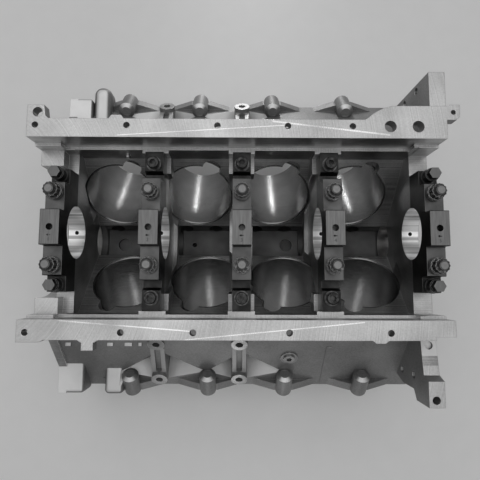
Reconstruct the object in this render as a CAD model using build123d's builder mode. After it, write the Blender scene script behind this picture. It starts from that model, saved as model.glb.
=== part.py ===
from build123d import *
from math import cos, radians, sin, sqrt
import os

# Driving dimensions, in millimetres. X runs along the crankshaft, front at -X and the
# bell housing at +X. Z points out of the crankcase, so the block lies as it does on a
# bench with the oil pan side up. The origin is on the crankshaft axis at the centre main cap.
bore_spacing = 111.8
bank_lean = 45.0
bank_stagger = 16.0
bore_radius = 49.5
sleeve_wall = 3.0
sleeve_clearance = 0.05
sleeve_flange_wall = 2.5
sleeve_flange_depth = 6.0
sleeve_chamfer = 1.2
mouth_height = 87.5
mouth_relief = 22.0
deck_height = 229.2

# Main bearings and their caps.
main_bore_radius = 34.35
cap_width = 23.1
cap_height = 61.0
front_cap_x = -229.1
rear_cap_x = 236.6
shoulder_height = 47.0
shoulder_half_width = 63.0
crown_half_width = 21.45
crown_side_radius = 6.0
ear_height = 30.0
ear_inner = 75.0
ear_outer = 101.0
groove_height = 22.0
end_cap_half_width = 77.5
end_step_height = 31.0
end_step_inner = 57.5
register_clearance = 0.15
cap_hole_radius = 4.0
cap_hole_depth = 14.0
cap_bore_chamfer = 0.8

# Fasteners of the caps.
stud_y = 45.0
stud_radius = 5.55
stud_top = 69.0
stud_depth = 38.0
stud_end_chamfer = 1.0
nut_radius = 9.2
nut_height = 14.0
nut_collar_radius = 10.0
nut_collar_height = 3.0
washer_radius = 10.9
washer_thickness = 3.0
fastener_clearance = 0.4
ear_bolt_y = 84.5
ear_bolt_radius = 4.8
ear_bolt_depth = 26.0
ear_head_radius = 7.6
ear_head_height = 9.5
ear_washer_radius = 9.4
ear_washer_thickness = 2.5
socket_radius = 4.0
socket_depth = 5.0
end_bolt_y = 69.0
end_collar_radius = 8.6
end_collar_height = 12.0
end_head_across_flats = 13.0
end_head_height = 9.5

# Crankcase, pan rails and bulkheads.
front_face_x = -260.7
rear_face_x = 249.4
rail_height = 63.7
rail_thickness = 15.0
rail_inner = 108.9
rail_outer = 132.0
skirt_inner = 105.5
skirt_outer = 119.0
crankcase_keel = 130.0
bay_corner_radius = 14.0
bulkhead_half_width = 17.0
disc_radius = 80.0
wall_ledge_height = 22.0
end_ledge_height = 39.0
ledge_inner = 105.0
pad_height = 18.0
end_pad_inner = 85.0
front_pad_x = -231.4
front_ledge_x = -228.0
rear_ledge_x = 218.0

# Camshaft tunnel and valley.
cam_drop = 120.0
cam_housing_radius = 29.0
cam_bearing_wall = 1.8
cam_tunnel_radius = 30.0
window_half_width = 22.0
window_floor = 156.0
valley_floor = 163.0
valley_plane = 190.0
lifter_radius = 10.7
lifter_spacing = 47.0
lifter_start = 108.0
lifter_end = 205.0
drain_radius = 10.0
vent_radius = 3.5

# Cylinder banks.
barrel_radius = 72.0
barrel_start = 60.0
jacket_start = 92.0
band_depth = 34.0
band_outer = 77.0
band_inner = 70.0
flare_depth = 16.0
flare_foot = 45.0
flare_top = 14.0
head_boss_radius = 12.0
head_boss_offset = 85.0
head_boss_end_radius = 7.0
head_boss_end_depth = 4.0
head_hole_radius = 5.6
head_hole_depth = 20.0
head_row_outer = 62.0
head_row_inner = 60.0
coolant_slot = 9.0
coolant_depth = 24.0
notch_radius = 13.0
notch_depth = 16.0
notch_offset = 22.0
notch_out = 46.0

# Engine mount columns on both sides.
mount_spacing = 114.5
mount_rear_x = {1: 1.0, -1: -2.0}
mount_low_height = 133.0
mount_low_face = 79.5
mount_high_height = 196.0
mount_high_face = 92.0
mount_boss_radius = 11.5
mount_hole_radius = 5.2
mount_hole_depth = 24.0
column_half_width = 10.0
column_groove = 8.0
column_groove_depth = 6.0
column_root = 50.0
column_set_back = 3.0
column_overlap = 10.0

# Dents in the jacket wall beside the columns. The floor of each rises from its root at a column
# to a tip by the next head boss.
dent_tips = {1: (-176.0, -64.0, 48.0), -1: (-175.0, -50.0, 62.0)}
dent_tip_height = 197.0
dent_root_height = 195.0
dent_root_out = 47.0
dent_rim_height = 213.0
dent_clear = 80.0

# Bell housing flange. Its outline, Y and Z, runs from the starter side's top round under the
# valley to the other side, where a lug stands out.
flange_front_x = 229.5
flange_hole_radius = 5.0
flange_lug_top = 28.0
flange_outline = (
    (skirt_outer, 62.0), (194.0, 62.0), (196.5, -60.0), (185.0, -118.0), (112.0, -188.0), (-112.0, -188.0),
    (-185.0, -118.0), (-204.0, -60.0), (-204.0, -21.0), (-217.0, -12.0), (-217.0, flange_lug_top),
    (-185.5, flange_lug_top), (-180.5, 14.0), (-139.5, 7.0), (-skirt_outer, 4.0),
)
lug_hole_depth = 24.0

# Valley details.
valley_wall = 16.0
valley_pocket_out = 49.0
drain_x = (-192.0, 75.0)
vent_x = (-76.0, 168.0)
drain_y = -2.0

# Blocks on the front corners of the banks, level on top: side, first X, last X, reach, height and
# the rounding of their outer corners.
corner_blocks = (
    (1, front_face_x, -227.0, 213.5, -72.0, 3.0),
    (1, -226.3, -200.0, 234.7, -74.0, 12.0),
    (-1, -259.0, -224.0, 222.5, -72.0, 5.0),
    (-1, -197.0, -170.0, 225.5, -79.7, 6.0),
)
corner_block_root = 165.0
corner_block_round = 10.0
plate_corner = {1: (213.5, -72.0), -1: (222.5, -72.0)}
plate_thickness = 12.0
plate_waist = 126.0
plate_reach = 80.0
plate_shoulder = 117.0
drain_plug_x = 68.5
drain_plug_height = 163.0
drain_plug_face = 79.0
drain_boss_radius = 12.0
drain_boss_depth = 24.0
drain_plug_radius = 6.5
drain_plug_length = 12.0
drain_head_radius = 8.0
drain_head_height = 2.5

# Holes in the rails, the end faces and the flange.
rail_hole_radius = 3.9
rail_hole_depth = 26.0
rail_hole_y = 123.7
rail_hole_x = {1: (-250.6, -140.2, -30.1, 55.5, 134.3), -1: (-250.6, -140.2, -56.4, 55.5, 173.6)}
starter_x = (180.3, 214.3)
starter_radius = 7.2
ear_hole = (-248.1, 139.7)
ear_hole_radius = 6.0
tab_hole = (257.4, 141.9)
tab_hole_radius = 3.0
lug_holes = ((239.5, -144.0), (238.5, -208.0))
flange_holes = (
    (186.0, 22.0), (186.0, -20.0), (-186.0, -20.0), (186.0, -62.0), (-186.0, -62.0), (118.0, -168.0), (-118.0, -168.0),
)
dowel_places = ((168.0, -78.0), (-168.0, -78.0))
dowel_radius = 6.3
dowel_shank_radius = 7.5
dowel_inset = 6.0
dowel_proud = 12.0
cover_hole_radius = 3.4
cover_hole_depth = 18.0
cover_holes = (
    (112, 24), (-112, 24), (112, -40), (-112, -40), (98, -92), (-98, -92), (60, -160), (-60, -160), (22, -172),
    (-22, -172),
)
gallery_radius = 7.0
gallery_plug_length = 9.0
gallery_front = ((44, -142), (-44, -142))
gallery_rear = ((44, -142), (-44, -142), (0, -172))
rear_seal_radius = 56.0
rear_seal_depth = 1.2
cam_bearing_x = (-236.0, -bore_spacing, 0.0, bore_spacing, 234.2)
cam_bearing_width = 18.0
cam_plug_recess = 1.5
cam_plug_depth = 3.5
plug_floor = 1.6
plug_rim = 3.0
coolant_x = 38.0
coolant_out = 52.0

half_root = sin(radians(bank_lean))
sides = (1, -1)
cap_x = (front_cap_x, -bore_spacing, 0.0, bore_spacing, rear_cap_x)
inner_faces = [cap_width / 2, *[bulkhead_half_width] * 3, cap_width / 2]
bay_edges = [(cap_x[i] + inner_faces[i], cap_x[i + 1] - inner_faces[i + 1]) for i in range(4)]
mount_x = {side: (mount_rear_x[side] - mount_spacing, mount_rear_x[side]) for side in sides}
deck_sum = deck_height / half_root
sleeve_radius = bore_radius + sleeve_wall
cylinder_x = {
    side: [(i - 1.5) * bore_spacing - side * bank_stagger / 2 for i in range(4)] for side in sides
}


def bank_plane(side, height):
    """Plane square to a bank's bores; its normal points from the crankshaft to the deck."""
    return Plane(
        origin=(0, side * half_root * height, -half_root * height),
        x_dir=(1, 0, 0),
        z_dir=(0, side * half_root, -half_root),
    )


def on_bank(side, x, out):
    """Local point on a bank plane, with out measured from the bores towards the pan rail."""
    return (x, -side * out)


def bank_yz(side, height, out):
    """Y and Z of a point given by its height along a bank and its reach out of it."""
    return (side * half_root * (height + out), half_root * (out - height))


def bank_point(side, x, height, out):
    return Vector(x, *bank_yz(side, height, out))


def side_plane(side, x, height, out):
    """Plane on the outer side of a bank; its normal points away from the bores."""
    y, z = bank_yz(side, height, out)
    return Plane(origin=(x, y, z), x_dir=(1, 0, 0), z_dir=(0, side * half_root, half_root))


front_corners = []
for side, first, last, reach, top, rounding in corner_blocks:
    with BuildPart() as corner_block:
        with BuildSketch(Plane.YZ.offset(first)):
            with BuildLine():
                Polyline((side * corner_block_root, top), (side * reach, top), (side * reach, reach - deck_sum),
                         (side * corner_block_root, corner_block_root - deck_sum), close=True)
            make_face()
        extrude(amount=last - first)
        fillet(edges().filter_by(Axis.Z).group_by(Axis((0, 0, 0), (0, side, 0)))[-1], rounding)
        far_edge = edges().filter_by(Axis.Y).group_by(Axis.Z)[-1].sort_by(Axis.X)[-1]
        fillet(far_edge, min(rounding, corner_block_round))
    front_corners.append(corner_block.part)

with BuildPart() as engine_block:
    # Crankcase and skirt, from the pan rails to the roots of the banks.
    with BuildSketch(Plane.YZ.offset(front_face_x)):
        with BuildLine():
            Polyline(
                (skirt_outer, rail_height),
                (skirt_outer, -10),
                (60, -crankcase_keel),
                (-60, -crankcase_keel),
                (-skirt_outer, -10),
                (-skirt_outer, rail_height),
                close=True,
            )
        make_face()
    extrude(amount=rear_face_x - front_face_x)

    # Valley between the banks.
    with BuildSketch(Plane.YZ.offset(front_face_x)):
        with BuildLine():
            Polyline((60, -crankcase_keel + 20), (94, -valley_plane), (-94, -valley_plane),
                     (-60, -crankcase_keel + 20), close=True)
        make_face()
    extrude(amount=rear_face_x - front_face_x)

    # Cylinder barrels, the jacket around them and the thick band that carries each deck.
    block_length = rear_face_x - front_face_x
    block_middle = (front_face_x + rear_face_x) / 2
    for side in sides:
        with BuildSketch(bank_plane(side, barrel_start)):
            with Locations(*[on_bank(side, x, 0) for x in cylinder_x[side]]):
                Circle(barrel_radius)
        extrude(amount=deck_height - barrel_start)
        with BuildSketch(bank_plane(side, deck_height)):
            with Locations(on_bank(side, block_middle, band_outer / 2)):
                Rectangle(block_length, band_outer)
        extrude(amount=jacket_start - deck_height)
        with BuildSketch(bank_plane(side, deck_height)):
            with Locations(on_bank(side, block_middle, (band_outer - band_inner) / 2)):
                Rectangle(block_length, band_outer + band_inner)
        extrude(amount=-band_depth)
    add(front_corners)

    # Dents in the jacket wall on both sides of each mount column.
    for side in sides:
        for column, x in enumerate(mount_x[side]):
            for step in (-1, 1):
                tip = bank_point(side, dent_tips[side][column + (step > 0)], dent_tip_height, band_outer)
                root = bank_point(side, x + step * column_half_width, dent_root_height, dent_root_out)
                rim = bank_point(side, x + step * column_half_width, dent_rim_height, band_outer)
                upwards = (rim - tip).cross(root - tip) * (side * step)
                dent_floor = Plane(origin=tip, x_dir=root - tip, z_dir=upwards)
                corners = [dent_floor.to_local_coords(point)
                           for point in (tip, root, root + (rim - root) * 2, tip + (rim - root))]
                with BuildSketch(dent_floor):
                    with BuildLine():
                        Polyline(*[(corner.X, corner.Y) for corner in corners], close=True)
                    make_face()
                extrude(amount=dent_clear, mode=Mode.SUBTRACT)

    # Head bosses, each with a sloping end, and the flares that join them to the band.
    for side in sides:
        with BuildSketch(bank_plane(side, deck_height)):
            for x in cylinder_x[side]:
                with BuildLine():
                    Polyline(on_bank(side, x - flare_foot, band_outer), on_bank(side, x - flare_top, head_boss_offset + 2),
                             on_bank(side, x + flare_top, head_boss_offset + 2),
                             on_bank(side, x + flare_foot, band_outer), close=True)
                make_face()
        extrude(amount=-flare_depth)
        boss_end = deck_height - band_depth
        with BuildSketch(bank_plane(side, deck_height)):
            with Locations(*[on_bank(side, x, head_boss_offset) for x in cylinder_x[side]]):
                Circle(head_boss_radius)
        extrude(amount=-band_depth)
        for x in cylinder_x[side]:
            with BuildSketch(bank_plane(side, boss_end)):
                with Locations(on_bank(side, x, head_boss_offset)):
                    Circle(head_boss_radius)
            with BuildSketch(bank_plane(side, boss_end - head_boss_end_depth)):
                with Locations(on_bank(side, x, head_boss_offset)):
                    Circle(head_boss_end_radius)
            loft()

    # Pan rails with their ears, pads and tabs.
    with BuildSketch(Plane.XY.offset(rail_height)):
        with BuildLine():
            Polyline(
                (front_face_x, rail_inner),
                (front_face_x, 148.7),
                (-240.5, 148.7),
                (-238.5, 135.0),
                (-235.0, rail_outer),
                (-162.0, rail_outer),
                (-159.0, 136.5),
                (-147.0, 136.5),
                (-144.0, rail_outer),
                (150.3, rail_outer),
                (162.8, 141.7),
                (173.0, 147.0),
                (182.5, 149.6),
                (251.0, 149.8),
                (253.0, 151.5),
                (265.8, 151.5),
                (265.1, 136.1),
                (261.3, 132.5),
                (rear_face_x, 132.5),
                (rear_face_x, rail_inner),
                close=True,
            )
        make_face()
        with BuildLine():
            Polyline(
                (front_face_x, -rail_inner),
                (front_face_x, -135.0),
                (-235.0, -135.0),
                (-229.0, -132.4),
                (-190.0, -132.4),
                (-185.0, -135.5),
                (-185.0, -144.2),
                (-171.4, -144.2),
                (-171.4, -135.5),
                (-166.0, -132.4),
                (152.0, -132.4),
                (156.0, -135.5),
                (167.0, -135.5),
                (171.0, -132.4),
                (225.7, -132.0),
                (225.7, -128.1),
                (rear_face_x, -128.1),
                (rear_face_x, -rail_inner),
                close=True,
            )
        make_face()
    extrude(amount=-rail_thickness)

    # Front plate that carries the timing cover.
    plate_edge = {}
    for side in sides:
        reach, top = plate_corner[side]
        plate_edge[side] = [
            (side * skirt_outer, rail_height - rail_thickness), (side * plate_waist, 0),
            bank_yz(side, plate_shoulder, plate_reach), bank_yz(side, plate_reach - top / half_root, plate_reach),
            (side * reach, top), (side * reach, reach - deck_sum), bank_yz(side, deck_height, -band_inner),
            (side * 94, -valley_plane),
        ]
    with BuildSketch(Plane.YZ.offset(front_face_x)):
        with BuildLine():
            Polyline(*plate_edge[1], *reversed(plate_edge[-1]), close=True)
        make_face()
    extrude(amount=plate_thickness)

    # Bell housing flange, with a lug on the side away from the starter.
    with BuildSketch(Plane.YZ.offset(flange_front_x)):
        with BuildLine():
            Polyline(*flange_outline, close=True)
        make_face()
    extrude(amount=rear_face_x - flange_front_x)

    # Engine mount columns: a grooved rib between two bosses, two columns a side.
    for side in sides:
        for x in mount_x[side]:
            with BuildSketch(Plane.YZ.offset(x - column_half_width)):
                with BuildLine():
                    column_low = mount_low_face - column_set_back
                    column_high = mount_high_face - 2 * column_set_back
                    Polyline(
                        bank_yz(side, mount_low_height - column_overlap, column_root),
                        bank_yz(side, mount_low_height - column_overlap, column_low),
                        bank_yz(side, mount_low_height + column_overlap, column_low),
                        bank_yz(side, mount_high_height - column_overlap, column_high),
                        bank_yz(side, mount_high_height + column_overlap, column_high),
                        bank_yz(side, mount_high_height + column_overlap, column_root),
                        close=True,
                    )
                make_face()
            extrude(amount=2 * column_half_width)
            for height, face in ((mount_low_height, mount_low_face), (mount_high_height, mount_high_face)):
                with BuildSketch(side_plane(side, x, height, face)):
                    Circle(mount_boss_radius)
                extrude(amount=-(face - column_root))
            with BuildSketch(Plane.YZ.offset(x - column_groove / 2)):
                with BuildLine():
                    low_end = mount_low_height + mount_boss_radius
                    high_end = mount_high_height - mount_boss_radius
                    Polyline(
                        bank_yz(side, low_end, mount_low_face - column_groove_depth),
                        bank_yz(side, high_end, column_high - column_groove_depth),
                        bank_yz(side, high_end, mount_high_face),
                        bank_yz(side, low_end, mount_high_face),
                        close=True,
                    )
                make_face()
            extrude(amount=column_groove, mode=Mode.SUBTRACT)

    # Drain plug bosses.
    for side in sides:
        with BuildSketch(side_plane(side, drain_plug_x, drain_plug_height, drain_plug_face)):
            Circle(drain_boss_radius)
        extrude(amount=-drain_boss_depth)

    # Crank bays with roofs square to the bores.
    for i, (start, end) in enumerate(bay_edges):
        with BuildSketch(Plane.YZ.offset(start)):
            with BuildLine():
                corner = bank_yz(1, mouth_height, sqrt(2) * skirt_inner - mouth_height)
                Polyline(
                    (skirt_inner, rail_height + 5),
                    corner,
                    (0, -sqrt(2) * mouth_height),
                    (-corner[0], corner[1]),
                    (-skirt_inner, rail_height + 5),
                    close=True,
                )
            make_face()
            fillet([v for v in vertices() if abs(v.Y) > 1 and v.Z < 0], bay_corner_radius)
        extrude(amount=end - start, mode=Mode.SUBTRACT)
        with BuildSketch(Plane.YZ.offset(cap_x[i] + cap_width / 2)):
            Circle(disc_radius)
        extrude(amount=cap_x[i + 1] - cap_x[i] - cap_width, mode=Mode.SUBTRACT)
        with BuildSketch(Plane.YZ.offset(start)):
            with Locations((0, -(window_floor + disc_radius) / 2)):
                Rectangle(2 * window_half_width, window_floor - disc_radius)
            with Locations((0, -cam_drop)):
                Circle(cam_tunnel_radius)
        extrude(amount=end - start, mode=Mode.SUBTRACT)

    # Registers for the middle caps, the split faces at both ends with the front pads, and the
    # ledges along the skirt walls: first X, last X, half width and height of each level.
    levels = [(x - bulkhead_half_width - 0.5, x + bulkhead_half_width + 0.5, ear_outer + register_clearance, 0)
              for x in cap_x[1:4]]
    levels += [
        (front_face_x, front_pad_x, end_pad_inner, 0),
        (front_face_x, front_pad_x, ledge_inner, pad_height),
        (front_pad_x, bay_edges[0][0], ledge_inner, 0),
        (bay_edges[3][1], rear_face_x, ledge_inner, 0),
        (front_face_x, front_ledge_x, rail_inner, end_ledge_height),
        (front_ledge_x, rear_ledge_x, rail_inner, wall_ledge_height),
        (rear_ledge_x, rear_face_x, rail_inner, end_ledge_height),
    ]
    for first, last, half_width, height in levels:
        with BuildSketch(Plane.YZ.offset(first)):
            with Locations((0, (rail_height + 5 + height) / 2)):
                Rectangle(2 * half_width, rail_height + 5 - height)
        extrude(amount=last - first, mode=Mode.SUBTRACT)
    with BuildSketch(Plane.YZ.offset(front_face_x)):
        Circle(end_pad_inner)
    extrude(amount=front_cap_x - cap_width / 2 - front_face_x, mode=Mode.SUBTRACT)

    # Main bearing bore and the camshaft bore.
    with BuildSketch(Plane.YZ.offset(front_face_x)):
        Circle(main_bore_radius)
        with Locations((0, -cam_drop)):
            Circle(cam_housing_radius)
    extrude(amount=rear_face_x - front_face_x, mode=Mode.SUBTRACT)

    # Cylinder seats, their flange recesses and the clearance cut above each mouth.
    for side in sides:
        with BuildSketch(bank_plane(side, mouth_height - mouth_relief)):
            with Locations(*[on_bank(side, x, 0) for x in cylinder_x[side]]):
                Circle(sleeve_radius)
        extrude(amount=deck_height - mouth_height + mouth_relief, mode=Mode.SUBTRACT)
        with BuildSketch(bank_plane(side, deck_height)):
            with Locations(*[on_bank(side, x, 0) for x in cylinder_x[side]]):
                Circle(sleeve_radius + sleeve_flange_wall)
        extrude(amount=-sleeve_flange_depth, mode=Mode.SUBTRACT)
        with BuildSketch(bank_plane(side, mouth_height)):
            with Locations(*[on_bank(side, x + side * notch_offset, notch_out) for x in cylinder_x[side]]):
                Circle(notch_radius)
        extrude(amount=notch_depth, mode=Mode.SUBTRACT)

    # Valley pocket, lifter bores and the drain holes in the valley floor.
    with BuildSketch(Plane.YZ.offset(front_face_x + valley_wall)):
        with BuildLine():
            reach = valley_pocket_out
            Polyline((reach, -valley_plane - 1), (reach - (valley_plane - valley_floor), -valley_floor),
                     (-reach + (valley_plane - valley_floor), -valley_floor), (-reach, -valley_plane - 1),
                     close=True)
        make_face()
    extrude(amount=rear_face_x - front_face_x - 2 * valley_wall, mode=Mode.SUBTRACT)
    for side in sides:
        lifter_x = [x + step * lifter_spacing / 2 for x in cylinder_x[side] for step in (-1, 1)]
        with BuildSketch(bank_plane(side, lifter_start)):
            with Locations(*[on_bank(side, x, -half_root * cam_drop) for x in lifter_x]):
                Circle(lifter_radius)
        extrude(amount=lifter_end - lifter_start, mode=Mode.SUBTRACT)
    with BuildSketch(Plane.XY.offset(-window_floor + 1)):
        with Locations(*[(x, drain_y) for x in drain_x]):
            Circle(drain_radius)
        with Locations(*[(x, drain_y) for x in vent_x]):
            Circle(vent_radius)
    extrude(amount=-(valley_floor - window_floor + 2), mode=Mode.SUBTRACT)

    # Tapped holes of the drain plugs and the mount columns.
    for side in sides:
        with BuildSketch(side_plane(side, drain_plug_x, drain_plug_height, drain_plug_face)):
            Circle(drain_plug_radius)
        extrude(amount=-drain_plug_length, mode=Mode.SUBTRACT)
        for x in mount_x[side]:
            for height, face in ((mount_low_height, mount_low_face), (mount_high_height, mount_high_face)):
                with BuildSketch(side_plane(side, x, height, face)):
                    Circle(mount_hole_radius)
                extrude(amount=-mount_hole_depth, mode=Mode.SUBTRACT)

    # Stud and bolt holes of the main caps.
    with BuildSketch(Plane.XY):
        with Locations(*[(x, y * stud_y) for x in cap_x for y in sides]):
            Circle(stud_radius)
    extrude(amount=-stud_depth, mode=Mode.SUBTRACT)
    with BuildSketch(Plane.XY):
        with Locations(*[(x, y * ear_bolt_y) for x in cap_x[1:4] for y in sides]):
            Circle(ear_bolt_radius)
        with Locations(*[(x, y * end_bolt_y) for x in (front_cap_x, rear_cap_x) for y in sides]):
            Circle(ear_bolt_radius)
    extrude(amount=-ear_bolt_depth, mode=Mode.SUBTRACT)

    # Holes in the pan rails, the flange and its lug.
    with BuildSketch(Plane.XY.offset(rail_height)):
        with Locations(*[(x, side * rail_hole_y) for side in sides for x in rail_hole_x[side]]):
            Circle(rail_hole_radius)
        with Locations(*[(x, rail_hole_y) for x in starter_x]):
            Circle(starter_radius)
        with Locations(ear_hole):
            Circle(ear_hole_radius)
        with Locations(tab_hole):
            Circle(tab_hole_radius)
    extrude(amount=-rail_hole_depth, mode=Mode.SUBTRACT)
    with BuildSketch(Plane.XY.offset(flange_lug_top)):
        with Locations(*lug_holes):
            Circle(flange_hole_radius)
    extrude(amount=-lug_hole_depth, mode=Mode.SUBTRACT)
    with BuildSketch(Plane.YZ.offset(flange_front_x)):
        with Locations(*flange_holes):
            Circle(flange_hole_radius)
        with Locations(*dowel_places):
            Circle(dowel_shank_radius)
    extrude(amount=rear_face_x - flange_front_x, mode=Mode.SUBTRACT)

    # Timing cover holes in the front face.
    with BuildSketch(Plane.YZ.offset(front_face_x)):
        with Locations(*cover_holes):
            Circle(cover_hole_radius)
        with Locations(*gallery_front):
            Circle(gallery_radius)
    extrude(amount=cover_hole_depth, mode=Mode.SUBTRACT)
    with BuildSketch(Plane.YZ.offset(rear_face_x)):
        with Locations(*gallery_rear):
            Circle(gallery_radius)
        with Locations((0, 0)):
            Circle(rear_seal_radius)
    extrude(amount=-rear_seal_depth, mode=Mode.SUBTRACT)
    with BuildSketch(Plane.YZ.offset(rear_face_x)):
        with Locations(*gallery_rear):
            Circle(gallery_radius)
    extrude(amount=-cover_hole_depth, mode=Mode.SUBTRACT)

    # Head bolt holes and coolant passages in the decks.
    for side in sides:
        between = [cylinder_x[side][0] - bore_spacing / 2 + i * bore_spacing for i in range(5)]
        with BuildSketch(bank_plane(side, deck_height)):
            with Locations(*[on_bank(side, x, out) for x in between for out in (head_row_outer, -head_row_inner)]):
                Circle(head_hole_radius)
            with Locations(*[on_bank(side, x, head_boss_offset) for x in cylinder_x[side]]):
                Circle(head_hole_radius)
        extrude(amount=-head_hole_depth, mode=Mode.SUBTRACT)
        with BuildSketch(bank_plane(side, deck_height)):
            for x in cylinder_x[side]:
                for step in (-1, 1):
                    with Locations(on_bank(side, x + step * coolant_x, coolant_out)):
                        SlotOverall(coolant_slot * 2, coolant_slot, rotation=-side * step * 35)
                    with Locations(on_bank(side, x + step * coolant_x, -coolant_out)):
                        SlotOverall(coolant_slot * 2, coolant_slot, rotation=side * step * 35)
        extrude(amount=-coolant_depth, mode=Mode.SUBTRACT)

engine_block.part.label = "engine_block"
export_step(engine_block.part, "parts/engine_block.step")

# Cylinder sleeves, numbered 1, 3, 5, 7 from the front on one bank and 2, 4, 6, 8 on the other.
for side in sides:
    for i, x in enumerate(cylinder_x[side]):
        number = 2 * i + (1 if side < 0 else 2)
        with BuildPart() as sleeve:
            with BuildSketch(bank_plane(side, mouth_height)):
                with Locations(on_bank(side, x, 0)):
                    Circle(sleeve_radius - sleeve_clearance)
            extrude(amount=deck_height - mouth_height)
            with BuildSketch(bank_plane(side, deck_height)):
                with Locations(on_bank(side, x, 0)):
                    Circle(sleeve_radius + sleeve_flange_wall - sleeve_clearance)
            extrude(amount=-(sleeve_flange_depth - sleeve_clearance))
            with BuildSketch(bank_plane(side, mouth_height)):
                with Locations(on_bank(side, x, 0)):
                    Circle(bore_radius)
            extrude(amount=deck_height - mouth_height, mode=Mode.SUBTRACT)
            mouth_edges = edges().filter_by(GeomType.CIRCLE).filter_by(
                lambda e: abs(e.radius - bore_radius) < 0.01
            )
            chamfer(mouth_edges, sleeve_chamfer)
            with BuildSketch(bank_plane(side, mouth_height)):
                with Locations(on_bank(side, x + side * notch_offset, notch_out)):
                    Circle(notch_radius)
            extrude(amount=notch_depth, mode=Mode.SUBTRACT)
        name = f"cylinder_sleeve_{number}"
        sleeve.part.label = name
        export_step(sleeve.part, f"parts/{name}.step")

# Main bearing caps. The middle three carry four bolts and have ears, the end two are narrower.
for number, x in enumerate(cap_x, start=1):
    eared = number in (2, 3, 4)
    if eared:
        half_profile = [
            (ear_outer, 0),
            (ear_outer, ear_height),
            (ear_inner, ear_height),
            (ear_inner - 3, groove_height),
            (shoulder_half_width, groove_height),
            (shoulder_half_width, shoulder_height),
        ]
    else:
        half_profile = [
            (end_cap_half_width, 0),
            (end_cap_half_width, end_step_height),
            (end_step_inner, end_step_height),
            (end_step_inner, shoulder_height),
        ]
    half_profile += [(crown_half_width, shoulder_height), (crown_half_width, cap_height)]
    with BuildPart() as main_cap:
        with BuildSketch(Plane.YZ.offset(x - cap_width / 2)):
            with BuildLine():
                Polyline(*half_profile, *[(-y, z) for y, z in reversed(half_profile)], close=True)
            make_face()
            step_corners = [
                v for v in vertices()
                if abs(abs(v.Y) - crown_half_width) < 0.1 and abs(v.Z - shoulder_height) < 0.1
                or eared and abs(abs(v.Y) - shoulder_half_width) < 0.1 and abs(v.Z - groove_height) < 0.1
            ]
            fillet(step_corners, crown_side_radius * 0.6)
            Circle(main_bore_radius, mode=Mode.SUBTRACT)
        extrude(amount=cap_width)
        top_edges = edges().filter_by(Axis.X).filter_by(lambda e: e.center().Z > ear_height - 1)
        chamfer(top_edges, cap_bore_chamfer)
        with BuildSketch(Plane.XY):
            with Locations((x, stud_y), (x, -stud_y)):
                Circle(stud_radius + fastener_clearance)
            bolt_y = ear_bolt_y if eared else end_bolt_y
            with Locations((x, bolt_y), (x, -bolt_y)):
                Circle(ear_bolt_radius + fastener_clearance)
        extrude(amount=cap_height, mode=Mode.SUBTRACT)
        with BuildSketch(Plane.XY.offset(cap_height)):
            with Locations((x, 0)):
                Circle(cap_hole_radius)
        extrude(amount=-cap_hole_depth, mode=Mode.SUBTRACT)
    name = f"main_cap_{number}"
    main_cap.part.label = name
    export_step(main_cap.part, f"parts/{name}.step")

# Main studs, one pair a cap, with collared nuts and hardened washers.
stud_places = [(x, y * stud_y) for x in cap_x for y in sides]
with BuildPart() as main_studs:
    with BuildSketch(Plane.XY.offset(-stud_depth)):
        with Locations(*stud_places):
            Circle(stud_radius)
    extrude(amount=stud_depth + stud_top)
    chamfer(edges().filter_by(GeomType.CIRCLE).group_by(Axis.Z)[-1], stud_end_chamfer)
main_studs.part.label = "main_studs"
export_step(main_studs.part, "parts/main_studs.step")

with BuildPart() as main_stud_washers:
    with BuildSketch(Plane.XY.offset(shoulder_height)):
        with Locations(*stud_places):
            Circle(washer_radius)
            Circle(stud_radius + fastener_clearance, mode=Mode.SUBTRACT)
    extrude(amount=washer_thickness)
main_stud_washers.part.label = "main_stud_washers"
export_step(main_stud_washers.part, "parts/main_stud_washers.step")

nut_seat = shoulder_height + washer_thickness
with BuildPart() as main_stud_nuts:
    with BuildSketch(Plane.XY.offset(nut_seat)):
        with Locations(*stud_places):
            Circle(nut_collar_radius)
            Circle(stud_radius, mode=Mode.SUBTRACT)
    extrude(amount=nut_collar_height)
    with BuildSketch(Plane.XY.offset(nut_seat + nut_collar_height)):
        with Locations(*stud_places):
            RegularPolygon(nut_radius, 6)
            RegularPolygon(nut_radius, 6, rotation=30)
            Circle(stud_radius, mode=Mode.SUBTRACT)
    extrude(amount=nut_height - nut_collar_height)
main_stud_nuts.part.label = "main_stud_nuts"
export_step(main_stud_nuts.part, "parts/main_stud_nuts.step")

# Outer bolts: socket heads on the ears of the middle caps, hex heads on the end caps.
ear_places = [(x, y * ear_bolt_y) for x in cap_x[1:4] for y in sides]
with BuildPart() as ear_bolt_washers:
    with BuildSketch(Plane.XY.offset(ear_height)):
        with Locations(*ear_places):
            Circle(ear_washer_radius)
            Circle(ear_bolt_radius + fastener_clearance, mode=Mode.SUBTRACT)
    extrude(amount=ear_washer_thickness)
ear_bolt_washers.part.label = "ear_bolt_washers"
export_step(ear_bolt_washers.part, "parts/ear_bolt_washers.step")

ear_seat = ear_height + ear_washer_thickness
with BuildPart() as ear_bolts:
    with BuildSketch(Plane.XY.offset(-ear_bolt_depth)):
        with Locations(*ear_places):
            Circle(ear_bolt_radius)
    extrude(amount=ear_bolt_depth + ear_seat)
    with BuildSketch(Plane.XY.offset(ear_seat)):
        with Locations(*ear_places):
            Circle(ear_head_radius)
    extrude(amount=ear_head_height)
    chamfer(edges().filter_by(GeomType.CIRCLE).group_by(Axis.Z)[-1], stud_end_chamfer)
    with BuildSketch(Plane.XY.offset(ear_seat + ear_head_height)):
        with Locations(*ear_places):
            RegularPolygon(socket_radius, 6)
    extrude(amount=-socket_depth, mode=Mode.SUBTRACT)
ear_bolts.part.label = "ear_bolts"
export_step(ear_bolts.part, "parts/ear_bolts.step")

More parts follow.
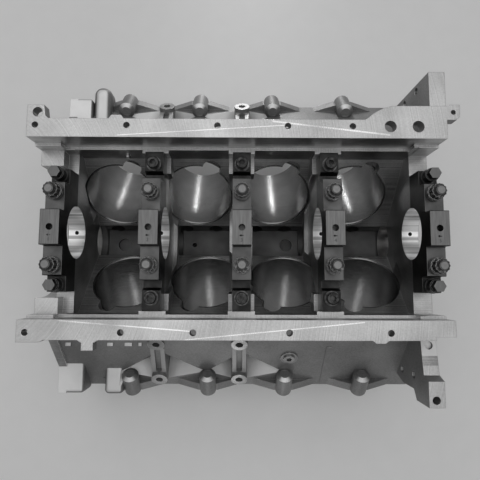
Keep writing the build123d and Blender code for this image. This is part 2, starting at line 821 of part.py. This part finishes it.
end_places = [(x, y * end_bolt_y) for x in (front_cap_x, rear_cap_x) for y in sides]
with BuildPart() as end_cap_washers:
    with BuildSketch(Plane.XY.offset(end_step_height)):
        with Locations(*end_places):
            Circle(ear_washer_radius)
            Circle(ear_bolt_radius + fastener_clearance, mode=Mode.SUBTRACT)
    extrude(amount=ear_washer_thickness)
end_cap_washers.part.label = "end_cap_washers"
export_step(end_cap_washers.part, "parts/end_cap_washers.step")

end_seat = end_step_height + ear_washer_thickness
with BuildPart() as end_cap_bolts:
    with BuildSketch(Plane.XY.offset(-ear_bolt_depth)):
        with Locations(*end_places):
            Circle(ear_bolt_radius)
    extrude(amount=ear_bolt_depth + end_seat)
    with BuildSketch(Plane.XY.offset(end_seat)):
        with Locations(*end_places):
            Circle(end_collar_radius)
    extrude(amount=end_collar_height)
    with BuildSketch(Plane.XY.offset(end_seat + end_collar_height)):
        with Locations(*end_places):
            RegularPolygon(end_head_across_flats / 2, 6, major_radius=False)
    extrude(amount=end_head_height)
end_cap_bolts.part.label = "end_cap_bolts"
export_step(end_cap_bolts.part, "parts/end_cap_bolts.step")

# Camshaft bearing shells, pressed into the bulkheads.
for number, x in enumerate(cam_bearing_x, start=1):
    with BuildPart() as cam_bearing:
        with BuildSketch(Plane.YZ.offset(x - cam_bearing_width / 2)):
            with Locations((0, -cam_drop)):
                Circle(cam_housing_radius)
                Circle(cam_housing_radius - cam_bearing_wall, mode=Mode.SUBTRACT)
        extrude(amount=cam_bearing_width)
    name = f"cam_bearing_{number}"
    cam_bearing.part.label = name
    export_step(cam_bearing.part, f"parts/{name}.step")

# Cup plug that closes the camshaft bore at the bell housing.
with BuildPart() as rear_cam_plug:
    with BuildSketch(Plane.YZ.offset(rear_face_x - cam_plug_recess)):
        with Locations((0, -cam_drop)):
            Circle(cam_housing_radius)
    extrude(amount=-cam_plug_depth)
    with BuildSketch(Plane.YZ.offset(rear_face_x - cam_plug_recess)):
        with Locations((0, -cam_drop)):
            Circle(cam_housing_radius - plug_rim)
    extrude(amount=-(cam_plug_depth - plug_floor), mode=Mode.SUBTRACT)
rear_cam_plug.part.label = "rear_cam_plug"
export_step(rear_cam_plug.part, "parts/rear_cam_plug.step")

# Oil gallery plugs in both end faces.
with BuildPart() as oil_gallery_plugs:
    with BuildSketch(Plane.YZ.offset(front_face_x + 1)):
        with Locations(*gallery_front):
            Circle(gallery_radius)
            RegularPolygon(socket_radius, 6, mode=Mode.SUBTRACT)
    extrude(amount=gallery_plug_length)
    with BuildSketch(Plane.YZ.offset(rear_face_x - 1)):
        with Locations(*gallery_rear):
            Circle(gallery_radius)
            RegularPolygon(socket_radius, 6, mode=Mode.SUBTRACT)
    extrude(amount=-gallery_plug_length)
oil_gallery_plugs.part.label = "oil_gallery_plugs"
export_step(oil_gallery_plugs.part, "parts/oil_gallery_plugs.step")

# Coolant drain plugs in the bosses between the barrels.
with BuildPart() as coolant_drain_plugs:
    for side in sides:
        with BuildSketch(side_plane(side, drain_plug_x, drain_plug_height, drain_plug_face)):
            Circle(drain_plug_radius)
        extrude(amount=-drain_plug_length)
        with BuildSketch(side_plane(side, drain_plug_x, drain_plug_height, drain_plug_face)):
            Circle(drain_head_radius)
        extrude(amount=drain_head_height)
        with BuildSketch(side_plane(side, drain_plug_x, drain_plug_height, drain_plug_face + drain_head_height)):
            RegularPolygon(socket_radius, 6)
        extrude(amount=-socket_depth, mode=Mode.SUBTRACT)
coolant_drain_plugs.part.label = "coolant_drain_plugs"
export_step(coolant_drain_plugs.part, "parts/coolant_drain_plugs.step")

# Dowels that place the bell housing.
with BuildPart() as bell_housing_dowels:
    with BuildSketch(Plane.YZ.offset(flange_front_x + dowel_inset)):
        with Locations(*dowel_places):
            Circle(dowel_shank_radius)
    extrude(amount=rear_face_x - flange_front_x - dowel_inset)
    with BuildSketch(Plane.YZ.offset(rear_face_x)):
        with Locations(*dowel_places):
            Circle(dowel_radius)
    extrude(amount=dowel_proud)
    chamfer(edges().filter_by(GeomType.CIRCLE).group_by(Axis.X)[-1], stud_end_chamfer)
bell_housing_dowels.part.label = "bell_housing_dowels"
export_step(bell_housing_dowels.part, "parts/bell_housing_dowels.step")
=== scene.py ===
import math

import bpy
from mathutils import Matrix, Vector


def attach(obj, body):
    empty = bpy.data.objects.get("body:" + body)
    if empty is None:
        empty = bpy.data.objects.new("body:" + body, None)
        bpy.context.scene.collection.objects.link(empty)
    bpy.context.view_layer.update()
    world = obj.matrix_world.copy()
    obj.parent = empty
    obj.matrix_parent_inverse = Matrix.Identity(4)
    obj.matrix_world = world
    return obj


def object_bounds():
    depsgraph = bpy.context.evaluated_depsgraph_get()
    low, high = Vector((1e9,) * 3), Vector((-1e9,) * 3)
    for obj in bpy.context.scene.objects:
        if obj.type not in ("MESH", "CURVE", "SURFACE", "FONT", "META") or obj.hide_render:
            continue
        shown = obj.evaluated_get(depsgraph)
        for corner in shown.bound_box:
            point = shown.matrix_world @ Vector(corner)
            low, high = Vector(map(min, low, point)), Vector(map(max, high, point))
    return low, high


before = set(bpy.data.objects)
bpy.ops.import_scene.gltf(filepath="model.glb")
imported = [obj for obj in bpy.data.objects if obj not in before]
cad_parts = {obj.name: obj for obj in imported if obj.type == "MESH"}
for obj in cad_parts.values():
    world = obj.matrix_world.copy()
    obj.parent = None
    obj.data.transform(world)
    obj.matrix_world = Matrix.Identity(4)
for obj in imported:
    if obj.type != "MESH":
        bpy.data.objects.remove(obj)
cad_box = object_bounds()
bpy.ops.object.select_all(action="DESELECT")

# Camera.
# It hangs a hand's breadth to the front right of the crankshaft's middle, 0.6 m above it,
# and looks down into the crankcase, so the skirts and banks spread outwards below the rails.
focal_ratio = 0.94943
view = bpy.data.cameras.new("view")
view.sensor_width = 36
view.lens = focal_ratio * view.sensor_width
view.clip_start = 0.01
camera = bpy.data.objects.new("camera", view)
camera.location = (-0.00574, -0.07021, 0.59881)
camera.rotation_euler = (0.101676, -0.006773, 0.003330)
bpy.context.scene.collection.objects.link(camera)
bpy.context.scene.camera = camera
bpy.context.scene.view_settings.view_transform = "Standard"

# Engine block.
# One aluminium casting, blasted matt outside. Its faces that look up are painted much paler than its walls,
# as painted light from above, and the floor of the cam tunnel and the floors of the holes in the rails are
# painted dark, as painted shade. The rails, decks, end faces, mount pads and the whole crankcase are
# milled:
# every milled face is found here by its place and the way it faces. The milled corners carry a painted
# highlight, and the main saddles carry painted reflection bands.


class Wire:
    """A socket in a material. Sums and products of wires, or of a wire and a number, add Math nodes."""

    def __init__(self, tree, socket):
        self.tree = tree
        self.socket = socket

    def node(self, kind, inputs, output=0, stops=None, **settings):
        """Add a node with these settings, ramp stops and inputs, and return one of its outputs."""
        node = self.tree.nodes.new(kind)
        for name, value in settings.items():
            setattr(node, name, value)
        for number, (place, value) in enumerate(stops or []):
            if number < 2:
                stop = node.color_ramp.elements[number]
                stop.position = place
            else:
                stop = node.color_ramp.elements.new(place)
            stop.color = (value, value, value, 1)
        for place, value in inputs.items():
            if isinstance(value, Wire):
                self.tree.links.new(value.socket, node.inputs[place])
            else:
                node.inputs[place].default_value = value
        return Wire(self.tree, node.outputs[output])

    def math(self, operation, *others):
        inputs = dict(enumerate((self, *others)))
        return self.node("ShaderNodeMath", inputs, operation=operation)

    def __add__(self, other):
        return self.math("ADD", other)

    __radd__ = __add__

    def __sub__(self, other):
        return self.math("SUBTRACT", other)

    def __rsub__(self, other):
        return self.math("MULTIPLY", -1.0).math("ADD", other)

    def __mul__(self, other):
        return self.math("MULTIPLY", other)

    __rmul__ = __mul__

    def __gt__(self, other):
        return self.math("GREATER_THAN", other)

    def __lt__(self, other):
        return self.math("LESS_THAN", other)

    def __or__(self, other):
        return self.math("MAXIMUM", other)

    def __abs__(self):
        return self.math("ABSOLUTE")

    def axis(self, name):
        return self.node("ShaderNodeSeparateXYZ", {0: self}, output="XYZ".index(name))

    def part(self, low, high):
        """How far this value has come from low to high, from 0 to 1."""
        return self.node("ShaderNodeMapRange", {0: self, 1: low, 2: high}, clamp=True)

    def noise(self, scale, detail=3.0, stretch=(1, 1, 1)):
        place = self.node("ShaderNodeMapping", {"Vector": self, "Scale": stretch})
        return self.node("ShaderNodeTexNoise", {"Vector": place, "Scale": scale, "Detail": detail})

    def rings(self, scale, detail=2.0):
        """Noise that changes with this one value only, as a cutter's or a hone's marks do."""
        inputs = {"W": self, "Scale": scale, "Detail": detail}
        return self.node("ShaderNodeTexNoise", inputs, noise_dimensions="1D")

    def blend(self, low, high):
        """A colour between low, where this is 0, and high, where it is 1."""
        colours = {0: self, 6: low, 7: high}
        return self.node("ShaderNodeMix", colours, output=2, data_type="RGBA", clamp_factor=True)

    def rounded(self, radius):
        """The normal of a surface whose corners turn over this radius."""
        return self.node("ShaderNodeBevel", {"Radius": radius}, samples=6)

    def rubbed(self, rounded):
        """1 along the corners, where this normal and the rounded one part, and 0 elsewhere. It marks worn
        corners on the steel parts and painted highlights along the casting's milled corners.
        """
        normals = {0: self, 1: rounded}
        agreement = self.node("ShaderNodeVectorMath", normals, output=1, operation="DOT_PRODUCT")
        return (1.0 - agreement).part(0.02, 0.16)

    def bump(self, depth, strength=1.0, rounded=None):
        """A normal bent by this height, from the plain one or a rounded one."""
        inputs = {"Height": self, "Distance": depth, "Strength": strength}
        if rounded:
            inputs["Normal"] = rounded
        return self.node("ShaderNodeBump", inputs)


def new_finish(name):
    """A material with its shader node, and wires for a point's place and its normal on the object."""
    material = bpy.data.materials.new(name)
    material.use_nodes = True
    tree = material.node_tree
    coordinates = tree.nodes.new("ShaderNodeTexCoord")
    place = Wire(tree, coordinates.outputs["Object"])
    facing = Wire(tree, coordinates.outputs["Normal"])
    return material, tree.nodes["Principled BSDF"], place, facing


def feed(shader, **wires):
    """Link wires to the shader's sockets, or set numbers on them; _ in a name stands for a space."""
    for name, wire in wires.items():
        socket = shader.inputs[name.replace("_", " ")]
        if isinstance(wire, Wire):
            wire.tree.links.new(wire.socket, socket)
        else:
            socket.default_value = wire


def grey(value, warmth=0.0):
    return (value * (1 + warmth), value, value * (1 - warmth), 1)


def dress(material, *nodes):
    for node in nodes:
        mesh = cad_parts[node].data
        mesh.materials.clear()
        mesh.materials.append(material)


slant = math.sqrt(0.5)
square_on = 0.98
level_faces_from = 0.0100
rail_top = 0.0637
rail_inside = 0.1110
rail_outside = 0.1400
crankcase_half = 0.1092
crankcase_floor = -0.1575
bay_roof_height = 0.0900
tunnel_top = -0.1300
tunnel_half = 0.0600
saddle_radius = 0.03435
deck_height = 0.2292
end_faces_from = 0.2450
low_pad_out = 0.0794
high_pad_out = 0.0920
cast, cast_shader, place, facing = new_finish("cast_aluminium")
x, y, z = (place.axis(name) for name in "XYZ")
across = abs(y)
up = facing.axis("Z")
along = abs(facing.axis("X"))
sideways = abs(facing.axis("Y"))
out = (across + z) * slant
height = (across - z) * slant
crankcase = (across < crankcase_half) * (z > crankcase_floor) * (height < bay_roof_height)
level = (up > square_on) * (z > level_faces_from)
deck = (height > deck_height - 0.0002) * (sideways - up > 1.40)
pad_face = (abs(out - low_pad_out) < 0.0007) | (abs(out - high_pad_out) < 0.0004)
mount_pads = (sideways + up > 1.40) * pad_face
ends = (along > square_on) * (abs(x) > end_faces_from)
milled = crankcase | level | deck | mount_pads | ends
rail = (up > square_on) * (z > rail_top - 0.0005)
from_crank = (y * y + z * z).math("SQRT")
saddle = abs(from_crank - saddle_radius) < 0.0003

# Passes of the face mill over the rails: long slanting lines where two passes met. Each has the x
# and y of both its ends, and half its width.
pass_ends = (
    (-0.1511, 0.1112, 0.0566, 0.1248, 0.0005),
    (0.0366, 0.1295, 0.1790, 0.1130, 0.0010),
    (-0.2130, -0.1100, -0.0540, -0.1224, 0.0007),
    (-0.0654, -0.1318, 0.1431, -0.1113, 0.0006),
)
passes = None
for x0, y0, x1, y1, half_width in pass_ends:
    run = math.hypot(x1 - x0, y1 - y0)
    aside = (x - x0) * (-(y1 - y0) / run) + (y - y0) * ((x1 - x0) / run)
    line = (abs(aside) < half_width) * (x > x0) * (x < x1)
    passes = line if passes is None else passes | line
from_cutter_x = x + 0.30
from_cutter_y = across - 0.06
swirl = (from_cutter_x * from_cutter_x + from_cutter_y * from_cutter_y).math("SQRT").rings(700, 3)
clouds = place.noise(16, 3)
speckle = place.noise(520, 5)
grain = place.noise(1100, 4)
rail_marks = clouds * 0.5 + swirl * 0.25 + speckle * 0.25
rail_grey = rail_marks.part(0.36, 0.66).blend(grey(0.36), grey(0.64))
rail_grey = (passes * rail * clouds.part(0.3, 0.6)).blend(rail_grey, grey(0.92))
turned = from_crank.rings(900, 2)
bay_marks = clouds * 0.6 + turned * 0.25 + speckle * 0.15
bay_grey = bay_marks.part(0.40, 0.62).blend(grey(0.22), grey(0.54))
# Painted reflection: bright and grey bands along the saddles, changing around their curve, stand for the
# room and lamps reflected in the bored bearing faces.
reflection_band_stops = ((0.36, 0.40), (0.44, 0.92), (0.50, 0.58), (0.58, 0.96))
painted_reflection_bands = y.node("ShaderNodeValToRGB", {0: y.rings(130, 1)}, stops=reflection_band_stops)
bay_grey = saddle.blend(bay_grey, painted_reflection_bands)
bearing_places = (-0.2291, -0.1118, 0.0, 0.1118, 0.2366)
# Painted shade: the oil holes are not cut; a near-black disc painted on each saddle stands for the shade
# inside the hole.
oil_hole_radius = 0.0027
oil_hole_aside = y - 0.0035
for bearing_x in bearing_places:
    oil_hole_along = x - bearing_x
    from_hole = (oil_hole_along * oil_hole_along + oil_hole_aside * oil_hole_aside).math("SQRT")
    bay_grey = (saddle * (from_hole < oil_hole_radius)).blend(bay_grey, grey(0.01))
milled_grey = (level * (z > 0.012)).blend(bay_grey, rail_grey)
milled_grey = (deck | ends).blend(milled_grey, rail_grey)
# Painted shade: the floors of the holes in the rails are painted near black, for the shade inside the
# holes.
painted_shade_hole_floors = level * (z > 0.0112) * (z < 0.0450) * (across > rail_inside) * (across < rail_outside)
milled_grey = painted_shade_hole_floors.blend(milled_grey, grey(0.05))
cast_grey = (clouds * 0.55 + speckle * 0.45).part(0.36, 0.64).blend(grey(0.19), grey(0.30))
# Painted light: the casting's upward-facing faces get a much paler colour than its walls, for the light
# from above that they catch.
painted_light_on_upward_faces = up.part(0.80, 0.93) * (z > tunnel_top)
cast_grey = painted_light_on_upward_faces.blend(cast_grey, clouds.part(0.3, 0.7).blend(grey(0.70), grey(0.88)))
# Painted shade: the cast floor of the cam tunnel is painted darker than the rest of the casting, for the
# shade deep in the valley.
painted_shade_tunnel_floor = (z < tunnel_top) * (across < tunnel_half)
cast_grey = painted_shade_tunnel_floor.blend(cast_grey, clouds.part(0.35, 0.65).blend(grey(0.08), grey(0.22)))
rounded = facing.rounded(0.0008)
# Painted highlight: the casting's milled corners are painted near white, for the shine along them.
painted_edge_highlights = facing.rubbed(rounded) * milled
feed(
    cast_shader,
    Base_Color=painted_edge_highlights.blend(milled.blend(cast_grey, milled_grey), grey(0.90)),
    Metallic=milled * 0.25 + 0.65,
    Roughness=0.52 - milled * (swirl * 0.14 + 0.12) - passes * rail * 0.06,
    Normal=(grain * (1.0 - milled) + speckle * 0.3).bump(0.0004, 0.35, rounded),
)
dress(cast, "engine_block")

# Cylinder sleeves.
# Centrifugally cast iron, pressed into the block and honed round and round, so that light
# spreads into bright streaks along each bore.
honed, honed_shader, place, facing = new_finish("honed_iron")
along_bore = (abs(place.axis("Y")) - place.axis("Z")) * slant
marks_at = along_bore.node("ShaderNodeCombineXYZ", {0: along_bore, 1: place.axis("X") * 0.05})
hone_marks = marks_at.noise(1800, 3)
feed(
    honed_shader,
    Base_Color=place.noise(45, 3).blend(grey(0.18), grey(0.30)),
    Metallic=1.0,
    Roughness=hone_marks.part(0.3, 0.7) * 0.08 + 0.19,
    Normal=hone_marks.bump(0.00016),
)
dress(honed, *[f"cylinder_sleeve_{number}" for number in range(1, 9)])

# Main bearing caps.
# Billet steel, blackened all over. The crown is ground last and brushed lengthwise, and the
# shoulders under the nuts and all corners are rubbed grey.
crown_top = 0.0610
shoulder_top = 0.0470
cap, cap_shader, place, facing = new_finish("cap_steel")
x, y, z = (place.axis(name) for name in "XYZ")
up = facing.axis("Z") > square_on
crown = up * (z > crown_top - 0.001)
shoulder = up * (z > shoulder_top - 0.001)
brushed = place.noise(700, 4, (1, 0.06, 1))
blackened = place.noise(90, 4).part(0.35, 0.7).blend(grey(0.016), grey(0.040))
crown_grey = brushed.part(0.3, 0.7).blend(grey(0.12), grey(0.19))
shoulder_grey = place.noise(60, 3).part(0.3, 0.7).blend(grey(0.07), grey(0.13))
rounded = facing.rounded(0.0009)
cap_grey = crown.blend(shoulder.blend(blackened, shoulder_grey), crown_grey)
feed(
    cap_shader,
    Base_Color=(facing.rubbed(rounded) * 0.6).blend(cap_grey, grey(0.34)),
    Metallic=0.85,
    Roughness=brushed * 0.12 + 0.26,
    Normal=(brushed * shoulder).bump(0.0001, 0.5, rounded),
)
dress(cap, *[f"main_cap_{number}" for number in range(1, 6)])

# Position marks on the cap crowns.
# Each cap only fits its own bearing, so its number and an arrow to the front are marked on the
# crown in thin dark strokes.
digit_height = 0.0060
digit_left = 0.0018
digit_y = -0.0172
arrow_left = 0.0015
arrow_y = -0.0098
arrow_head_radius = 0.0017
arrow_shaft = 0.0026
mark_relief = 0.00008
stamped, stamped_shader, place, facing = new_finish("stamped_steel")
feed(stamped_shader, Base_Color=place.noise(900).blend(grey(0.03), grey(0.09)), Metallic=0.8, Roughness=0.5)
for number, cap_x in enumerate(bearing_places, start=1):
    bpy.ops.object.text_add(location=(cap_x - digit_left, digit_y, crown_top))
    digit = bpy.context.object
    digit.data.body = str(number)
    digit.data.size = digit_height
    digit.data.extrude = mark_relief
    bpy.ops.object.convert(target="MESH")
    bpy.ops.mesh.primitive_cylinder_add(vertices=3, radius=arrow_head_radius, depth=2 * mark_relief,
                                        location=(cap_x - arrow_left, arrow_y, crown_top),
                                        rotation=(0, 0, math.pi / 2))
    arrow = bpy.context.object
    bpy.ops.object.transform_apply(location=True, rotation=True, scale=True)
    for face in arrow.data.polygons:
        face.select = face.normal.x > 0.9
    bpy.ops.object.mode_set(mode="EDIT")
    bpy.ops.mesh.select_mode(type="FACE")
    bpy.ops.mesh.extrude_region_move(TRANSFORM_OT_translate={"value": (0.00001, 0, 0)})
    bpy.ops.transform.resize(value=(1, 0.35, 1))
    bpy.ops.mesh.extrude_region_move(TRANSFORM_OT_translate={"value": (arrow_shaft, 0, 0)})
    bpy.ops.object.mode_set(mode="OBJECT")
    digit.select_set(True)
    bpy.context.view_layer.objects.active = digit
    bpy.ops.object.join()
    bpy.ops.object.transform_apply(location=True, rotation=True, scale=True)
    digit.name = f"cap_mark_{number}"
    digit.data.materials.clear()
    digit.data.materials.append(stamped)
    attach(digit, "root")
    bpy.ops.object.select_all(action="DESELECT")

# Main studs.
# Alloy steel with rolled threads. Their ends are ground flat and stand out of the nuts.
thread_pitch = 0.0015
stud, stud_shader, place, facing = new_finish("stud_steel")
tip = facing.axis("Z") > square_on
thread = (place.axis("Z") * (2 * math.pi / thread_pitch)).math("SINE") * (1.0 - tip)
stud_grey = place.noise(400, 3).blend(grey(0.10), grey(0.16))
feed(
    stud_shader,
    Base_Color=tip.blend(stud_grey, place.noise(500).blend(grey(0.14), grey(0.24))),
    Metallic=0.9,
    Roughness=0.34 - tip * 0.04,
    Normal=thread.bump(0.0003, 0.8, facing.rounded(0.0004)),
)
dress(stud, "main_studs")

# Nuts of the main studs.
# Twelve-sided black nuts on a round collar, with their corners rubbed bright by the socket.
nut, nut_shader, place, facing = new_finish("black_nut_steel")
rounded = facing.rounded(0.0009)
worn = (facing.rubbed(rounded) + place.noise(260, 3).part(0.55, 0.75) * 0.25).part(0, 1)
feed(
    nut_shader,
    Base_Color=worn.blend(grey(0.035), grey(0.72)),
    Metallic=0.85,
    Roughness=place.noise(300) * 0.15 + 0.22,
    Normal=place.noise(700).bump(0.0001, 0.3, rounded),
)
dress(nut, "main_stud_nuts")

# Bolts through the ears of the middle caps.
# Socket head cap screws, black all over, with the heads' rims rubbed a little.
ear, ear_shader, place, facing = new_finish("black_bolt_steel")
rounded = facing.rounded(0.0005)
worn = (facing.rubbed(rounded) * 0.6 + place.noise(220, 3).part(0.4, 0.7) * 0.15).part(0, 1)
feed(
    ear_shader,
    Base_Color=worn.blend(grey(0.022), grey(0.40)),
    Metallic=0.85,
    Roughness=place.noise(300) * 0.15 + 0.24,
    Normal=place.noise(800).bump(0.0001, 0.3, rounded),
)
dress(ear, "ear_bolts")

# Bolts of the end caps.
# Hexagon bolts on a tall round collar, black, with the top of the hexagon brushed back to grey.
hexagon_top = 0.0545
end_bolt, end_shader, place, facing = new_finish("brushed_bolt_steel")
hexagon = (facing.axis("Z") > square_on) * (place.axis("Z") > hexagon_top)
rounded = facing.rounded(0.0006)
end_grey = hexagon.blend(grey(0.03), place.noise(500, 3, (1, 0.2, 1)).blend(grey(0.10), grey(0.17)))
feed(
    end_shader,
    Base_Color=(facing.rubbed(rounded) * 0.7).blend(end_grey, grey(0.55)),
    Metallic=0.85,
    Roughness=place.noise(300) * 0.12 + 0.24,
    Normal=place.noise(800).bump(0.0001, 0.3, rounded),
)
dress(end_bolt, "end_cap_bolts")

# Washers under every nut and bolt.
# Hardened and ground flat, with an oily dark finish, lighter and darker in patches.
washer, washer_shader, place, facing = new_finish("washer_steel")
feed(
    washer_shader,
    Base_Color=place.noise(300, 3).part(0.35, 0.7).blend(grey(0.05), grey(0.16)),
    Metallic=0.9,
    Roughness=place.noise(300) * 0.15 + 0.25,
    Normal=place.noise(900).bump(0.0001, 0.2, facing.rounded(0.0004)),
)
dress(washer, "main_stud_washers", "ear_bolt_washers", "end_cap_washers")

# Camshaft bearings.
# Steel-backed shells with a soft white metal face, pressed into the tunnel and bored in place.
shell, shell_shader, place, facing = new_finish("bearing_metal")
bored = place.axis("X").rings(1500, 2)
shell_marks = bored * 0.5 + place.noise(80) * 0.5
feed(
    shell_shader,
    Base_Color=shell_marks.part(0.35, 0.65).blend(grey(0.66), grey(0.86, 0.02)),
    Metallic=0.95,
    Roughness=bored * 0.15 + 0.25,
    Normal=bored.bump(0.00005, 0.5),
)
dress(shell, *[f"cam_bearing_{number}" for number in range(1, 6)])

# Plugs and dowels.
# Zinc-plated cup and socket plugs driven into the galleries and the jacket, and two hardened
# dowels that place the bell housing.
plated, plated_shader, place, facing = new_finish("plated_steel")
feed(
    plated_shader,
    Base_Color=place.noise(240, 3).part(0.35, 0.7).blend(grey(0.28), grey(0.46)),
    Metallic=0.95,
    Roughness=place.noise(260) * 0.2 + 0.24,
    Normal=place.noise(900).bump(0.0001, 0.2, facing.rounded(0.0004)),
)
dress(plated, "rear_cam_plug", "oil_gallery_plugs", "coolant_drain_plugs")
dowel, dowel_shader, place, facing = new_finish("ground_dowel_steel")
ground = place.axis("X").rings(2600, 2)
feed(
    dowel_shader,
    Base_Color=ground.blend(grey(0.40), grey(0.58)),
    Metallic=1.0,
    Roughness=ground * 0.1 + 0.2,
)
dress(dowel, "bell_housing_dowels")

# Press plug in the skirt wall.
# A small steel cup driven into a drilling in the inner wall, under the starter side's rail.
plug_radius = 0.0036
plug_length = 0.0050
plug_rim = 0.0009
bpy.ops.mesh.primitive_cylinder_add(vertices=32, radius=plug_radius, depth=plug_length,
                                    location=(-0.1531, 0.1040, -0.0011), rotation=(math.pi / 2, 0, 0))
press_plug = bpy.context.object
press_plug.name = "press_plug"
bpy.ops.object.transform_apply(location=True, rotation=True, scale=True)
for face in press_plug.data.polygons:
    face.select = face.normal.y < -0.9
bpy.ops.object.mode_set(mode="EDIT")
bpy.ops.mesh.select_mode(type="FACE")
bpy.ops.mesh.inset(thickness=plug_rim)
bpy.ops.mesh.extrude_region_move(TRANSFORM_OT_translate={"value": (0, plug_rim, 0)})
bpy.ops.object.mode_set(mode="OBJECT")
rounding = press_plug.modifiers.new("rounding", "BEVEL")
rounding.width = 0.0003
rounding.segments = 2
bpy.ops.object.modifier_apply(modifier="rounding")
bpy.ops.object.shade_smooth_by_angle(angle=math.radians(35))
press_plug.data.materials.append(plated)
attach(press_plug, "root")
bpy.ops.object.select_all(action="DESELECT")

# Shelves on the wall under the right-hand rail.
# Four short shelves left by the mould where the skirt meets the jacket, blasted like the wall.
shelf_y = -0.1465
shelf_top = -0.0380
shelf_width = 0.0120
shelf_thickness = 0.0080
shelves = ((-0.2370, 0.0120), (-0.1795, 0.0130), (-0.1545, 0.0160), (-0.1385, 0.0078))
for number, (shelf_x, length) in enumerate(shelves, start=1):
    bpy.ops.mesh.primitive_cube_add(size=1, location=(shelf_x, shelf_y, shelf_top - shelf_thickness / 2),
                                    scale=(length, shelf_width, shelf_thickness))
    shelf = bpy.context.object
    shelf.name = f"wall_shelf_{number}"
    bpy.ops.object.transform_apply(location=True, rotation=True, scale=True)
    for face in shelf.data.polygons:
        face.select = face.normal.y < -0.9
    bpy.ops.object.mode_set(mode="EDIT")
    bpy.ops.mesh.select_mode(type="FACE")
    bpy.ops.transform.resize(value=(0.70, 1, 0.85))
    bpy.ops.object.mode_set(mode="OBJECT")
    rounding = shelf.modifiers.new("rounding", "BEVEL")
    rounding.width = 0.0010
    rounding.segments = 3
    bpy.ops.object.modifier_apply(modifier="rounding")
    bpy.ops.object.shade_smooth_by_angle(angle=math.radians(40))
    shelf.data.materials.append(cast)
    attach(shelf, "root")
    bpy.ops.object.select_all(action="DESELECT")

# Parting line of the mould on the right-hand wall.
# A fine ridge down the jacket where two cores met, with a short bar across its upper end.
wall_out = 0.0770
ridge_x = 0.1190
bar_thickness = 0.0016
for name, bar_x, bar_height, width, length in (
    ("parting_ridge", ridge_x, 0.1825, 0.0011, 0.0830),
    ("parting_bar", ridge_x + 0.0040, 0.1408, 0.0105, 0.0016),
):
    bpy.ops.mesh.primitive_cube_add(size=1)
    bar = bpy.context.object
    bar.name = name
    bpy.ops.transform.resize(value=(width, length, bar_thickness))
    bpy.ops.object.transform_apply(location=True, rotation=True, scale=True)
    for face in bar.data.polygons:
        face.select = face.normal.z > 0.9
    bpy.ops.object.mode_set(mode="EDIT")
    bpy.ops.mesh.select_mode(type="FACE")
    bpy.ops.transform.resize(value=(0.7, 0.99, 1))
    bpy.ops.object.mode_set(mode="OBJECT")
    rounding = bar.modifiers.new("rounding", "BEVEL")
    rounding.width = 0.0002
    rounding.segments = 2
    bpy.ops.object.modifier_apply(modifier="rounding")
    bar.rotation_euler = (math.radians(45), 0, 0)
    bar.location = (bar_x, -slant * (bar_height + wall_out), slant * (wall_out - bar_height))
    bpy.ops.object.transform_apply(location=True, rotation=True, scale=True)
    bar.data.materials.append(cast)
    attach(bar, "root")
    bpy.ops.object.select_all(action="DESELECT")

# Floor.
# A plain pale surface under the decks' inner edges, on which the block lies upside down.
bpy.ops.mesh.primitive_plane_add(size=8, location=(0, 0, cad_box[0][2]))
floor = bpy.context.object
floor.name = "floor"
floor_finish, floor_shader, place, facing = new_finish("floor")
feed(floor_shader, Base_Color=place.noise(30).blend(grey(0.84), grey(0.88)), Roughness=0.9)
floor.data.materials.append(floor_finish)

# Studio light.
# A wide soft panel over the whole block, a weaker one high on each side, a low narrow one on each
# side that shines in through the open decks, and an even pale room.
room = bpy.data.worlds.new("room")
room.use_nodes = True
room.node_tree.nodes["Background"].inputs["Color"].default_value = grey(1.0)
room.node_tree.nodes["Background"].inputs["Strength"].default_value = 0.25
bpy.context.scene.world = room
for name, spot, power, width, length, spread in (
    ("top panel", (0, 0.2, 1.6), 11.5, 2.4, 1.8, 180),
    ("high panel", (-0.3, 1.2, 1.2), 2.5, 1.4, 0.8, 180),
    ("near panel", (0.4, -1.4, 1.0), 1.6, 1.4, 0.8, 180),
    ("far strip", (0.05, 0.95, -0.06), 0.30, 0.09, 0.28, 60),
    ("near strip", (-0.05, -1.05, -0.06), 0.045, 0.09, 0.28, 60),
):
    lamp = bpy.data.lights.new(name, "AREA")
    lamp.shape = "RECTANGLE"
    lamp.energy = power
    lamp.size = width
    lamp.size_y = length
    lamp.spread = math.radians(spread)
    panel = bpy.data.objects.new(name, lamp)
    panel.location = spot
    panel.rotation_euler = (-Vector(spot)).to_track_quat("-Z", "Y").to_euler()
    bpy.context.scene.collection.objects.link(panel)
